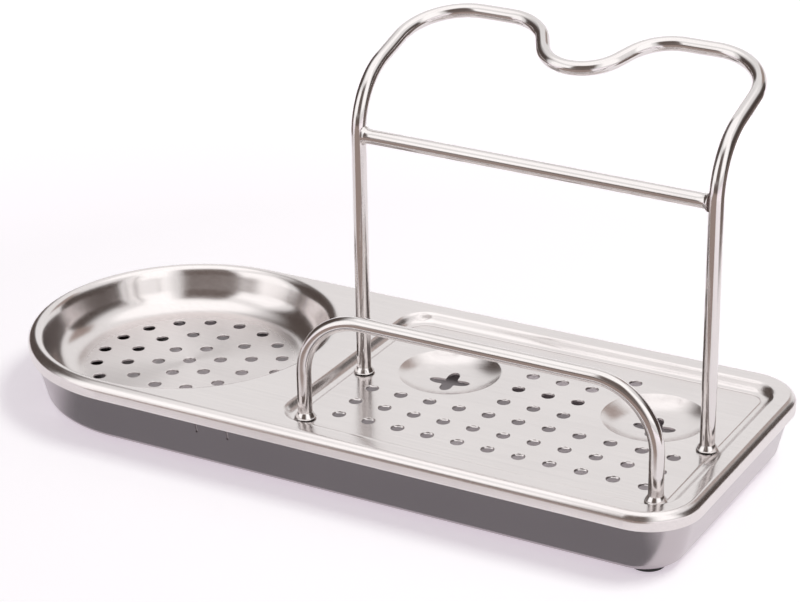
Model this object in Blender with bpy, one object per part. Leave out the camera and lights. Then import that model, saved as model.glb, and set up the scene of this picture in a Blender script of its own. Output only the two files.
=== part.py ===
"""Sink caddy: a pressed steel drain tray with two bent wire racks, seated on a drip pan.

Metres, +Z up. The origin is on the ground under the middle of the tray's outline.
+X runs from the round dish to the square end of the tray, and +Y runs to the back.
"""

import math

import bmesh
import bpy
from mathutils import Matrix, Vector
from mathutils.geometry import delaunay_2d_cdt

# Sheet, wire and the clearances between pieces
SHEET = 0.0008
WIRE_RADIUS = 0.0025
SEAT_GAP = 0.0003
SIDE_PLAY = 0.0001

# Tray outline: a half circle at the dish end, rounded corners at the square end
TRAY_LENGTH = 0.275
TRAY_WIDTH = 0.115
TRAY_CORNER = 0.019

# Rolled rim: a skirt on the outside and a rounded edge that runs level into the deck
EDGE_RADIUS = 0.0031
SKIRT_DROP = 0.0027

# Round dish at the left end
DISH_MARGIN = 0.0022
DISH_DEPTH = 0.0149
DISH_WALL_ANGLE = math.radians(72)
DISH_FILLET = 0.0102
DISH_LIP = 0.0037

# Shallow rectangular well under the racks; its right end lies nearer to the rim
DECK_BRIDGE = 0.0139
WELL_MARGIN = 0.0053
WELL_REACH = 0.0012
WELL_DEPTH = 0.0031
WELL_WALL_ANGLE = math.radians(50)
WELL_FILLET = 0.004
WELL_LIP = 0.0014

# How much of the room beside the rim the dish's lip takes where it runs out into it
LIP_ROOM_SHARE = 0.8

# Drain holes, in circles in the dish and in a grid in the well
HOLE_RADIUS = 0.00225
HOLE_PITCH = 0.01125
HOLE_LAND = 0.0026
GRID_SHIFT = 0.0012
GRID_SIDE_MARGIN = 0.0125
GRID_FRONT_MARGIN = 0.0131
GRID_BACK_MARGIN = 0.012
DISH_HOLE_START = math.radians(30)

# Two round dimples in the well, each with a four-lobed cut-out in its middle. They are
# as large as the well's length leaves room for between the racks' legs.
DIMPLE_RADIUS_SHARE = 0.2613
DIMPLE_DEPTH = 0.0041
DIMPLE_FULLNESS = 3
DIMPLE_BACK_MARGIN = 0.0333
DIMPLE_SPREAD_SHARE = 0.5597
DIMPLE_RING_SHARES = (1.0, 0.92, 0.78, 0.6)
CUTOUT_REACH_SHARE = 0.404
CUTOUT_WAIST_SHARE = 0.43
CUTOUT_TURN = math.radians(8)

# Tall rack: two legs that bend back into a flat, dipped crest, and a straight crossbar.
# Its left leg is a little longer than its right one.
RACK_LEFT_MARGIN = 0.00545
RACK_RIGHT_MARGIN = 0.0047
RACK_FORWARD = 0.0006
RACK_LEG = 0.0871
RACK_TILT_SHARE = 0.0131
RACK_BEND = 0.0231
RACK_RISE_ANGLE = math.radians(16.9)
RACK_REACH = 0.0347
RACK_CORNER = 0.0215
SHOULDER_BEND = 0.0179
DIP_BEND = 0.0153
DIP_SIDE = 0.0054
DIP_ANGLE = math.radians(62.5)

# Low guard wire in front
GUARD_LEFT_MARGIN = 0.00565
GUARD_RIGHT_MARGIN = 0.0052
GUARD_FRONT_MARGIN = 0.0058
GUARD_HEIGHT = 0.0387
GUARD_BEND = 0.0223

# Coned collar under each wire end, and the screw and washer below the tray
COLLAR_HEIGHT = 0.002
COLLAR_FLARE = 0.0012
SCREW_RADIUS = 0.0012
SCREW_GRIP = 0.008
HEAD_RADIUS = 0.0026
HEAD_HEIGHT = 0.0016
RECESS_REACH = 0.0014
RECESS_DEPTH = 0.0008
WASHER_RADIUS = 0.0034
WASHER_HEIGHT = 0.0005

# Drip pan and its rubber feet
PAN_HEIGHT = 0.0206
PAN_WALL_ANGLE = math.radians(79)
PAN_FILLET = 0.003
PAN_END_DRAFT = 0.001
TONGUE_OFFSET = 0.0457
TONGUE_WIDTH = 0.0124
SLIT_WIDTH = 0.0008
SLIT_DEPTH = 0.0081
FOOT_RADIUS = 0.006
FOOT_HEIGHT = 0.0019
FOOT_CHAMFER = 0.0004
FOOT_MARGIN = 0.008
FOOT_ANGLE = math.radians(50)
CUT_OVERRUN = 0.002

# How finely round shapes are divided
DISH_SIDES = 48
CORNER_STEPS = 6
EDGE_STEPS = 5
FILLET_STEPS = 4
LIP_STEPS = 3
HOLE_SIDES = 10
DIMPLE_SIDES = 32
WIRE_SIDES = 10
TURNED_SIDES = 16
SCREW_SIDES = 12
BEND_STEP = math.radians(12)

# Places worked out from the sizes above
PAN_INSET = SHEET + SEAT_GAP + SIDE_PLAY
PAN_BASE = FOOT_HEIGHT + SEAT_GAP
EDGE_HOLLOW = EDGE_RADIUS - SHEET - SEAT_GAP
EDGE_Z = PAN_BASE + PAN_HEIGHT - math.sqrt(EDGE_HOLLOW**2 - (EDGE_RADIUS - PAN_INSET) ** 2)
DECK_Z = EDGE_Z + EDGE_RADIUS
WELL_Z = DECK_Z - WELL_DEPTH
DISH_Z = DECK_Z - DISH_DEPTH
DISH_X = (TRAY_WIDTH - TRAY_LENGTH) / 2
DISH_RADIUS = TRAY_WIDTH / 2 - EDGE_RADIUS - DISH_MARGIN
WELL_HALF_WIDTH = TRAY_WIDTH / 2 - EDGE_RADIUS - WELL_MARGIN
WELL_CORNER = TRAY_CORNER - EDGE_RADIUS - WELL_MARGIN
WELL_LEFT = DISH_X + DISH_RADIUS + DECK_BRIDGE
WELL_RIGHT = TRAY_LENGTH / 2 - EDGE_RADIUS - WELL_MARGIN + WELL_REACH
WELL_RUN = WELL_DEPTH / math.tan(WELL_WALL_ANGLE)
FLOOR_LEFT = WELL_LEFT + WELL_RUN
FLOOR_RIGHT = WELL_RIGHT - WELL_RUN
FLOOR_HALF_WIDTH = WELL_HALF_WIDTH - WELL_RUN
FLOOR_HALF_LENGTH = (FLOOR_RIGHT - FLOOR_LEFT) / 2
GRID_X = (FLOOR_LEFT + FLOOR_RIGHT) / 2 + GRID_SHIFT
DIMPLE_SPREAD = DIMPLE_SPREAD_SHARE * FLOOR_HALF_LENGTH
DIMPLE_RADIUS = DIMPLE_RADIUS_SHARE * FLOOR_HALF_LENGTH
CUTOUT_REACH = CUTOUT_REACH_SHARE * DIMPLE_RADIUS
DIMPLE_Y = FLOOR_HALF_WIDTH - DIMPLE_BACK_MARGIN
RACK_LEGS = (FLOOR_LEFT + RACK_LEFT_MARGIN, FLOOR_RIGHT - RACK_RIGHT_MARGIN)
GUARD_Y = GUARD_FRONT_MARGIN - FLOOR_HALF_WIDTH
GUARD_LEGS = (FLOOR_LEFT + GUARD_LEFT_MARGIN, FLOOR_RIGHT - GUARD_RIGHT_MARGIN)
COLLAR_Z = WELL_Z + SEAT_GAP
WIRE_END_Z = COLLAR_Z + COLLAR_HEIGHT + SEAT_GAP
WASHER_TOP_Z = WELL_Z - SHEET - SEAT_GAP
HEAD_TOP_Z = WASHER_TOP_Z - WASHER_HEIGHT - SEAT_GAP
SCREW_HOLE = SCREW_RADIUS + SEAT_GAP
PAN_RADIUS = TRAY_WIDTH / 2 - PAN_INSET
PAN_RIGHT = TRAY_LENGTH / 2 - PAN_INSET
PAN_CORNER = TRAY_CORNER - PAN_INSET

LEG_PLACES = {
    "rack_left": (RACK_LEGS[0], -RACK_FORWARD),
    "rack_right": (RACK_LEGS[1], -RACK_FORWARD),
    "guard_left": (GUARD_LEGS[0], GUARD_Y),
    "guard_right": (GUARD_LEGS[1], GUARD_Y),
}


def clear_scene():
    for obj in list(bpy.data.objects):
        bpy.data.objects.remove(obj, do_unlink=True)


def make_material(name, colour, metallic, roughness):
    material = bpy.data.materials.new(name)
    material.use_nodes = True
    shader = material.node_tree.nodes["Principled BSDF"]
    shader.inputs["Base Color"].default_value = (*colour, 1)
    shader.inputs["Metallic"].default_value = metallic
    shader.inputs["Roughness"].default_value = roughness
    return material


def make_object(name, bm, colour, metallic, roughness):
    """Turns a finished bmesh into an object with a material of its own."""
    mesh = bpy.data.meshes.new(name)
    bm.to_mesh(mesh)
    bm.free()
    mesh.shade_smooth()
    mesh.set_sharp_from_angle(angle=math.radians(40))
    mesh.materials.append(make_material(name, colour, metallic, roughness))
    obj = bpy.data.objects.new(name, mesh)
    bpy.context.scene.collection.objects.link(obj)
    return obj


def arc(centre, start, turn, radius, angle):
    """Points on an arc about centre, from the direction start towards the direction turn."""
    steps = math.ceil(angle / BEND_STEP)
    turns = [angle * i / steps for i in range(steps + 1)]
    return [centre + radius * (math.cos(a) * start + math.sin(a) * turn) for a in turns]


def rounded_corner(x, y, radius, start, steps=CORNER_STEPS):
    """Plan points of a quarter circle about (x, y), anticlockwise from the angle start."""
    angles = [start + math.pi / 2 * i / steps for i in range(steps + 1)]
    return [(x + radius * math.cos(a), y + radius * math.sin(a)) for a in angles]


def half_circle(x, radius, start, steps=DISH_SIDES // 2):
    """Plan points of a half circle about (x, 0), anticlockwise, without its two ends."""
    angles = [start + math.pi * i / steps for i in range(1, steps)]
    return [(x + radius * math.cos(a), radius * math.sin(a)) for a in angles]


def end_outline(round_x, half_width, right, corner, inset, knees=()):
    """A D-shaped plan outline, anticlockwise from the front end of the half circle.

    knees are places along the straight sides where the outline also has a point.
    """
    half = half_width - inset
    far = right - corner
    front = [(x, -half) for x in (round_x, *knees)]
    back = [(x, half) for x in (*reversed(knees), round_x)]
    corners = rounded_corner(far, corner - half_width, corner - inset, -math.pi / 2)
    corners += rounded_corner(far, half_width - corner, corner - inset, 0)
    return front + corners + back + half_circle(round_x, half, math.pi / 2)


def add_ring(bm, plan, z):
    return [bm.verts.new((x, y, z)) for x, y in plan]


def add_circle(bm, x, y, z, radius, sides):
    turns = [2 * math.pi * (i + 0.5) / sides for i in range(sides)]
    return add_ring(bm, [(x + radius * math.cos(a), y + radius * math.sin(a)) for a in turns], z)


def bridge(bm, outer, inner):
    """Four-sided faces between two closed rings that have as many points."""
    count = len(outer)
    for i in range(count):
        j = (i + 1) % count
        bm.faces.new((outer[i], outer[j], inner[j], inner[i]))


def bridge_all(bm, rings):
    for outer, inner in zip(rings, rings[1:]):
        bridge(bm, outer, inner)


def fill_flat(bm, outline, holes=()):
    """Triangles over the level area inside outline and outside each hole.

    Each hole is a ring of points round a circle, given as (ring, x, y, radius).
    """
    verts = []
    edges = []
    for ring in [outline] + [hole[0] for hole in holes]:
        first = len(verts)
        verts += ring
        edges += [(first + i, first + (i + 1) % len(ring)) for i in range(len(ring))]
    plan = [vert.co.xy for vert in verts]
    faces = delaunay_2d_cdt(plan, edges, [], 1, SEAT_GAP / 1000)[2]
    for face in faces:
        middle = sum((plan[i] for i in face), Vector((0, 0))) / 3
        if any((middle - Vector((x, y))).length < radius for _, x, y, radius in holes):
            continue
        (ax, ay), (bx, by), (cx, cy) = (plan[i] for i in face)
        upward = (bx - ax) * (cy - ay) > (by - ay) * (cx - ax)
        bm.faces.new([verts[i] for i in (face if upward else reversed(face))])


def wall_profile(height, angle, fillet, lip=0):
    """(inset, drop) of a bowl's wall from the end of its lip to the edge of its floor."""
    fillet = min(fillet, (height - lip * math.sin(angle)) / (1 - math.cos(angle)))
    tangent_drop = height - fillet * (1 - math.cos(angle))
    centre = tangent_drop / math.tan(angle) + fillet * math.sin(angle)
    turns = [angle * (1 - i / FILLET_STEPS) for i in range(FILLET_STEPS + 1)]
    return [(centre - fillet * math.sin(a), height - fillet + fillet * math.cos(a)) for a in turns]


def lip_profile(overhang, length, angle):
    """(inset, drop) over a rounded lip: level at -overhang, then turning down the wall."""
    end = (length * math.cos(angle), length * math.sin(angle))
    points = []
    for i in range(LIP_STEPS + 1):
        share = i / LIP_STEPS
        level = (1 - share) ** 2
        points.append((share**2 * end[0] - level * overhang, share**2 * end[1]))
    return points


def dish_overhang(angle):
    """How far the dish's lip spreads over the deck; beside the rim there is less room."""
    room = LIP_ROOM_SHARE * (DISH_RADIUS + DISH_MARGIN) * (1 - abs(math.sin(angle)))
    return DISH_MARGIN + min(DISH_LIP - DISH_MARGIN, room)


def dish_outline(inset):
    turns = [2 * math.pi * i / DISH_SIDES - math.pi / 2 for i in range(DISH_SIDES)]
    radius = DISH_RADIUS - inset
    return [(DISH_X + radius * math.cos(a), radius * math.sin(a)) for a in turns]


def dish_lip(step):
    """Plan points and height of one ring of the dish's lip, which is wider on the deck side."""
    inset, drop = lip_profile(DISH_MARGIN, DISH_LIP, DISH_WALL_ANGLE)[step]
    plan = dish_outline(inset)
    for i in range(1, DISH_SIDES // 2):
        angle = 2 * math.pi * i / DISH_SIDES - math.pi / 2
        inset = lip_profile(dish_overhang(angle), DISH_LIP, DISH_WALL_ANGLE)[step][0]
        plan[i] = dish_outline(inset)[i]
    return plan, DECK_Z - drop


def well_outline(inset):
    wall = WELL_HALF_WIDTH - WELL_CORNER
    far = WELL_RIGHT - WELL_CORNER
    near = WELL_LEFT + WELL_CORNER
    radius = WELL_CORNER - inset
    return (
        rounded_corner(far, -wall, radius, -math.pi / 2)
        + rounded_corner(far, wall, radius, 0)
        + rounded_corner(near, wall, radius, math.pi / 2)
        + rounded_corner(near, -wall, radius, math.pi)
    )


def lobed(x, y, reach, sides, turn=0):
    """Plan points of a four-lobed opening about (x, y)."""
    turns = [2 * math.pi * (i + 0.5) / sides for i in range(sides)]
    swell = (1 - CUTOUT_WAIST_SHARE) / 2
    radii = [reach * (1 - swell + swell * math.cos(4 * (a - turn))) for a in turns]
    return [(x + r * math.cos(a), y + r * math.sin(a)) for r, a in zip(radii, turns)]


def dish_hole_places():
    """Centres of the dish's holes: one in the middle, then rings one pitch apart."""
    edge = DISH_RADIUS - wall_profile(DISH_DEPTH, DISH_WALL_ANGLE, DISH_FILLET, DISH_LIP)[-1][0]
    rings = int((edge - HOLE_RADIUS - HOLE_LAND) / HOLE_PITCH)
    places = [(DISH_X, 0)]
    for ring in range(1, rings + 1):
        for i in range(6 * ring):
            angle = DISH_HOLE_START + 2 * math.pi * i / (6 * ring)
            radius = ring * HOLE_PITCH
            places.append((DISH_X + radius * math.cos(angle), radius * math.sin(angle)))
    return places


def dimple_places():
    return [(GRID_X - DIMPLE_SPREAD, DIMPLE_Y), (GRID_X + DIMPLE_SPREAD, DIMPLE_Y)]


def grid_hole_places():
    """Centres of the well's holes: full rows in front of the dimples, then only between them."""
    columns = int(2 * (FLOOR_HALF_LENGTH - GRID_SIDE_MARGIN) / HOLE_PITCH) + 1
    room = 2 * FLOOR_HALF_WIDTH - GRID_FRONT_MARGIN - GRID_BACK_MARGIN
    clearance = DIMPLE_RADIUS + HOLE_RADIUS + HOLE_LAND
    places = []
    for row in range(int(room / HOLE_PITCH) + 1):
        y = GRID_FRONT_MARGIN - FLOOR_HALF_WIDTH + row * HOLE_PITCH
        in_front = y < DIMPLE_Y - DIMPLE_RADIUS - HOLE_RADIUS
        for column in range(columns):
            x = GRID_X + (column - (columns - 1) / 2) * HOLE_PITCH
            gap = min(math.dist((x, y), place) for place in dimple_places())
            between = abs(x - GRID_X) < DIMPLE_SPREAD
            if gap > clearance and (in_front or between):
                places.append((x, y))
    return places


def add_holes(bm, places, z, radius):
    return [(add_circle(bm, x, y, z, radius, HOLE_SIDES), x, y, radius) for x, y in places]


def add_rim(bm):
    """The skirt and the rounded edge, from the skirt's lower edge to the edge of the deck."""
    levels = [(0, EDGE_Z - SKIRT_DROP)]
    for i in range(EDGE_STEPS + 1):
        angle = math.pi / 2 * i / EDGE_STEPS
        inset = EDGE_RADIUS * (1 - math.cos(angle))
        levels.append((inset, EDGE_Z + EDGE_RADIUS * math.sin(angle)))
    knee = WELL_LEFT + WELL_CORNER
    shape = (DISH_X, TRAY_WIDTH / 2, TRAY_LENGTH / 2, TRAY_CORNER)
    rings = [add_ring(bm, end_outline(*shape, inset, (knee,)), z) for inset, z in levels]
    bridge_all(bm, rings)
    return rings[-1]


def add_dish(bm, rim):
    """The dish, whose lip shares the rim's inner edge round the half circle."""
    steps = DISH_SIDES // 2
    plan, z = dish_lip(0)
    lip = [rim[0]] + add_ring(bm, plan[1:steps], z) + rim[-steps:]
    rings = [lip] + [add_ring(bm, *dish_lip(step)) for step in range(1, LIP_STEPS + 1)]
    for inset, drop in wall_profile(DISH_DEPTH, DISH_WALL_ANGLE, DISH_FILLET, DISH_LIP):
        rings.append(add_ring(bm, dish_outline(inset), DECK_Z - drop))
    bridge_all(bm, rings)
    fill_flat(bm, rings[-1], add_holes(bm, dish_hole_places(), DISH_Z, HOLE_RADIUS))
    return lip[: steps + 1]


def dimple_height(share):
    """Height of a dimple's surface at a share of its radius; its edge is the steepest part."""
    return WELL_Z - DIMPLE_DEPTH * (1 - share**DIMPLE_FULLNESS)


def add_dimple(bm, x, y):
    """A dimple pressed down from the well's floor; returns its edge as a hole in the floor."""
    turns = [2 * math.pi * (i + 0.5) / DIMPLE_SIDES for i in range(DIMPLE_SIDES)]
    rings = []
    for share in DIMPLE_RING_SHARES:
        radius = share * DIMPLE_RADIUS
        plan = [(x + radius * math.cos(a), y + radius * math.sin(a)) for a in turns]
        rings.append(add_ring(bm, plan, dimple_height(share)))
    cutout = []
    for px, py in lobed(x, y, CUTOUT_REACH, DIMPLE_SIDES, CUTOUT_TURN):
        share = math.dist((px, py), (x, y)) / DIMPLE_RADIUS
        cutout.append(bm.verts.new((px, py, dimple_height(share))))
    bridge_all(bm, rings + [cutout])
    return rings[0], x, y, DIMPLE_RADIUS


def add_well(bm, rim):
    """The well, in a level margin that shares the rim's inner edge on its three outer sides."""
    shared = 2 * (CORNER_STEPS + 1) + 1
    knee = rim[1]
    margin = add_ring(bm, well_outline(-WELL_MARGIN)[shared:-1], DECK_Z)
    lip = rim[2 : 2 + shared] + margin + [knee]
    rings = [lip]
    profile = lip_profile(WELL_LIP, WELL_LIP, WELL_WALL_ANGLE)
    profile += wall_profile(WELL_DEPTH, WELL_WALL_ANGLE, WELL_FILLET, WELL_LIP)
    for inset, drop in profile:
        rings.append(add_ring(bm, well_outline(inset), DECK_Z - drop))
    bridge_all(bm, rings)
    holes = add_holes(bm, grid_hole_places(), WELL_Z, HOLE_RADIUS)
    holes += add_holes(bm, LEG_PLACES.values(), WELL_Z, SCREW_HOLE)
    holes += [add_dimple(bm, x, y) for x, y in dimple_places()]
    fill_flat(bm, rings[-1], holes)
    return lip[shared - 1 :]


def make_tray():
    """One pressed sheet: rim, deck, dish and well, then thickened downwards."""
    bm = bmesh.new()
    rim = add_rim(bm)
    dish_side = add_dish(bm, rim)
    well_side = add_well(bm, rim)
    fill_flat(bm, well_side + dish_side)
    tray = make_object("drain_tray", bm, (0.63, 0.61, 0.6), 1, 0.24)
    thicken(tray)


def thicken(obj):
    solid = obj.modifiers.new("sheet", "SOLIDIFY")
    solid.thickness = SHEET
    solid.offset = -1
    solid.use_even_offset = True


def make_wire(name, path):
    """A round wire along path, with a blind hole in each end for a screw."""
    bm = bmesh.new()
    ahead = [(after - before).normalized() for before, after in zip(path, path[1:])]
    tangents = [ahead[0]] + [(a + b).normalized() for a, b in zip(ahead, ahead[1:])] + [ahead[-1]]
    side = Vector((0, 1, 0))
    frames = []
    for tangent in tangents:
        side = (side - side.dot(tangent) * tangent).normalized()
        frames.append((side, tangent.cross(side)))
    rings = [wire_ring(bm, point, *frame, WIRE_RADIUS) for point, frame in zip(path, frames)]
    grip = SCREW_GRIP + SEAT_GAP
    first = [path[0] + grip * tangents[0], path[0]]
    last = [path[-1], path[-1] - grip * tangents[-1]]
    mouth = [wire_ring(bm, point, *frames[0], SCREW_HOLE) for point in first]
    tail = [wire_ring(bm, point, *frames[-1], SCREW_HOLE) for point in last]
    bridge_all(bm, mouth + rings + tail)
    bm.faces.new(reversed(mouth[0]))
    bm.faces.new(tail[-1])
    make_object(name, bm, (0.66, 0.64, 0.63), 1, 0.16)


def wire_ring(bm, point, side, across, radius):
    turns = [2 * math.pi * i / WIRE_SIDES for i in range(WIRE_SIDES)]
    return [bm.verts.new(point + radius * (math.cos(a) * side + math.sin(a) * across)) for a in turns]


def mirrored_path(half, middle):
    """The path and its mirror image about x = middle, joined where they meet."""
    other = [Vector((2 * middle - p.x, p.y, p.z)) for p in reversed(half)]
    return half + other[1:] if (half[-1] - other[0]).length < SEAT_GAP else half + other


def rack_tilt(x):
    """How far the rack's top is raised at x; it slopes down from the left leg to the right."""
    return RACK_TILT_SHARE * (sum(RACK_LEGS) / 2 - x)


def make_rack():
    """The tall hoop: up a leg, back over a bend, round a corner and down into the dip."""
    left, right = RACK_LEGS
    middle, half_span = (left + right) / 2, (right - left) / 2
    flat = (SHOULDER_BEND + DIP_BEND) * math.sin(DIP_ANGLE) + DIP_SIDE * math.cos(DIP_ANGLE)
    fit = min(1, half_span / (RACK_CORNER + flat))
    corner, shoulder, dip, flat = (fit * size for size in (RACK_CORNER, SHOULDER_BEND, DIP_BEND, flat))
    x_way, z_way = Vector((1, 0, 0)), Vector((0, 0, 1))
    back = Vector((0, math.cos(RACK_RISE_ANGLE), math.sin(RACK_RISE_ANGLE)))
    lean = math.pi / 2 - RACK_RISE_ANGLE
    bend_centre = Vector((left, RACK_BEND - RACK_FORWARD, WELL_Z + RACK_LEG))
    path = [Vector((left, -RACK_FORWARD, WIRE_END_Z))]
    path += arc(bend_centre, Vector((0, -1, 0)), z_way, RACK_BEND, lean)
    crest = path[-1] + RACK_REACH * back
    path += arc(crest + corner * (x_way - back), -x_way, back, corner, math.pi / 2)
    shoulder_centre = Vector((middle - flat, crest.y, crest.z)) - shoulder * back
    path += arc(shoulder_centre, back, x_way, shoulder, DIP_ANGLE)
    along = math.sin(DIP_ANGLE) * back - math.cos(DIP_ANGLE) * x_way
    dip_start = path[-1] - fit * DIP_SIDE * along
    outward = -math.sin(DIP_ANGLE) * x_way - math.cos(DIP_ANGLE) * back
    inward = math.cos(DIP_ANGLE) * x_way - math.sin(DIP_ANGLE) * back
    path += arc(dip_start - dip * outward, outward, inward, dip, DIP_ANGLE)
    hoop = mirrored_path(path, middle)
    for point in hoop[1:-1]:
        point.z += rack_tilt(point.x)
    make_wire("rack_hoop", hoop)


def make_crossbar():
    """A straight wire between the rack's legs, at the top of their straight part."""
    left, right = RACK_LEGS
    trim = WIRE_RADIUS + SEAT_GAP
    bm = bmesh.new()
    places = (left + trim, right - trim)
    ends = [Vector((x, -RACK_FORWARD, WELL_Z + RACK_LEG + rack_tilt(x))) for x in places]
    y_way, z_way = Vector((0, 1, 0)), Vector((0, 0, 1))
    rings = [wire_ring(bm, end, y_way, z_way, WIRE_RADIUS) for end in ends]
    bridge(bm, *rings)
    bm.faces.new(reversed(rings[0]))
    bm.faces.new(rings[1])
    make_object("rack_crossbar", bm, (0.66, 0.64, 0.63), 1, 0.16)


def make_guard():
    """The low front wire: two legs and a straight top."""
    left, right = GUARD_LEGS
    centre = Vector((left + GUARD_BEND, GUARD_Y, WELL_Z + GUARD_HEIGHT - GUARD_BEND))
    path = [Vector((left, GUARD_Y, WIRE_END_Z))]
    path += arc(centre, Vector((-1, 0, 0)), Vector((0, 0, 1)), GUARD_BEND, math.pi / 2)
    make_wire("guard_wire", mirrored_path(path, (left + right) / 2))


def turned(name, profile, place, sides, colour, metallic, roughness):
    """A ring turned about +Z from (radius, height) points, which run up its outer side."""
    bm = bmesh.new()
    turns = [2 * math.pi * i / sides for i in range(sides)]
    rings = [add_ring(bm, [(r * math.cos(a), r * math.sin(a)) for a in turns], z) for r, z in profile]
    bridge_all(bm, rings)
    bridge(bm, rings[-1], rings[0])
    bmesh.ops.translate(bm, verts=bm.verts, vec=place)
    make_object(name, bm, colour, metallic, roughness)


def make_collar(name, x, y):
    top = WIRE_RADIUS
    base = WIRE_RADIUS + COLLAR_FLARE
    profile = [(SCREW_HOLE, 0), (base, 0), (top, COLLAR_HEIGHT), (SCREW_HOLE, COLLAR_HEIGHT)]
    turned(name, profile, (x, y, COLLAR_Z), TURNED_SIDES, (0.66, 0.64, 0.63), 1, 0.2)


def make_washer(name, x, y):
    profile = [
        (SCREW_HOLE, -WASHER_HEIGHT),
        (WASHER_RADIUS, -WASHER_HEIGHT),
        (WASHER_RADIUS, 0),
        (SCREW_HOLE, 0),
    ]
    turned(name, profile, (x, y, WASHER_TOP_Z), TURNED_SIDES, (0.6, 0.6, 0.6), 1, 0.35)


def make_screw(name, x, y):
    """A cross-recessed screw, head down, reaching up into the end of the wire."""
    bm = bmesh.new()
    top = WIRE_END_Z + SCREW_GRIP - HEAD_TOP_Z
    turns = [2 * math.pi * (i + 0.5) / SCREW_SIDES for i in range(SCREW_SIDES)]
    plain = [
        (HEAD_RADIUS, -HEAD_HEIGHT),
        (HEAD_RADIUS, 0),
        (SCREW_RADIUS, 0),
        (SCREW_RADIUS, top),
    ]
    cross = lobed(0, 0, RECESS_REACH, SCREW_SIDES)
    rings = [add_ring(bm, cross, z) for z in (RECESS_DEPTH - HEAD_HEIGHT, -HEAD_HEIGHT)]
    for radius, z in plain:
        rings.append(add_ring(bm, [(radius * math.cos(a), radius * math.sin(a)) for a in turns], z))
    bridge_all(bm, rings)
    bm.faces.new(reversed(rings[0]))
    bm.faces.new(rings[-1])
    bmesh.ops.translate(bm, verts=bm.verts, vec=(x, y, HEAD_TOP_Z))
    make_object(name, bm, (0.55, 0.55, 0.56), 1, 0.3)


def pan_outline(inset, drop):
    """The pan's plan outline; its ends lean in a little more than its sides."""
    draft = PAN_END_DRAFT * drop / PAN_HEIGHT
    return end_outline(DISH_X + draft, PAN_RADIUS, PAN_RIGHT - draft, PAN_CORNER, inset)


def pan_profile():
    return wall_profile(PAN_HEIGHT, PAN_WALL_ANGLE, PAN_FILLET)


def make_pan():
    """A deep drawn pan under the tray, with a sprung tongue between two slits on each side."""
    bm = bmesh.new()
    levels = [(0, 0), *pan_profile()]
    top = PAN_BASE + PAN_HEIGHT
    rings = [add_ring(bm, pan_outline(inset, drop), top - drop) for inset, drop in levels]
    bridge_all(bm, rings)
    fill_flat(bm, rings[-1])
    bmesh.ops.reverse_faces(bm, faces=bm.faces)
    pan = make_object("drip_pan", bm, (0.36, 0.33, 0.35), 1, 0.34)
    thicken(pan)
    cut = pan.modifiers.new("slits", "BOOLEAN")
    cut.object = make_slit_cutter()
    cut.solver = "EXACT"


def make_slit_cutter():
    """Four upright slots, open at the pan's top edge, two in front and two behind."""
    bm = bmesh.new()
    middle = DISH_X + TONGUE_OFFSET
    wall = PAN_RADIUS - SHEET
    depth = 2 * (SHEET + SLIT_DEPTH / math.tan(PAN_WALL_ANGLE)) + CUT_OVERRUN
    height = SLIT_DEPTH + CUT_OVERRUN
    top = PAN_BASE + PAN_HEIGHT + CUT_OVERRUN
    for x in (middle - TONGUE_WIDTH / 2, middle + TONGUE_WIDTH / 2):
        for y in (-wall, wall):
            place = Matrix.Translation((x, y, top - height / 2))
            size = Matrix.Diagonal((SLIT_WIDTH, depth, height, 1))
            bmesh.ops.create_cube(bm, size=1, matrix=place @ size)
    mesh = bpy.data.meshes.new("slit_cutter")
    bm.to_mesh(mesh)
    bm.free()
    cutter = bpy.data.objects.new("slit_cutter", mesh)
    bpy.context.scene.collection.objects.link(cutter)
    cutter.hide_render = True
    cutter.display_type = "WIRE"
    return cutter


def make_feet():
    """Four rubber pads stuck under the pan, two round its half circle and two at its corners."""
    inset = pan_profile()[-1][0] + FOOT_MARGIN
    reach = PAN_RADIUS - inset
    round_x = DISH_X + PAN_END_DRAFT
    left_x = round_x - reach * math.cos(FOOT_ANGLE)
    left_y = reach * math.sin(FOOT_ANGLE)
    right_x = PAN_RIGHT - PAN_END_DRAFT - inset
    places = {
        "foot_left_front": (left_x, -left_y),
        "foot_left_back": (left_x, left_y),
        "foot_right_front": (right_x, -reach),
        "foot_right_back": (right_x, reach),
    }
    for name, (x, y) in places.items():
        make_foot(name, x, y)


def make_foot(name, x, y):
    bm = bmesh.new()
    narrow = FOOT_RADIUS - FOOT_CHAMFER
    levels = ((narrow, 0), (FOOT_RADIUS, FOOT_CHAMFER), (FOOT_RADIUS, FOOT_HEIGHT))
    rings = [add_circle(bm, x, y, z, radius, TURNED_SIDES) for radius, z in levels]
    bridge_all(bm, rings)
    bm.faces.new(reversed(rings[0]))
    bm.faces.new(rings[-1])
    make_object(name, bm, (0.03, 0.03, 0.03), 0, 0.7)


clear_scene()
make_pan()
make_feet()
make_tray()
make_rack()
make_crossbar()
make_guard()
for leg, (leg_x, leg_y) in LEG_PLACES.items():
    make_collar(leg + "_collar", leg_x, leg_y)
    make_washer(leg + "_washer", leg_x, leg_y)
    make_screw(leg + "_screw", leg_x, leg_y)
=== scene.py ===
import math

import bmesh
import bpy
from mathutils import Matrix, Vector
from mathutils.geometry import delaunay_2d_cdt


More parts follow.
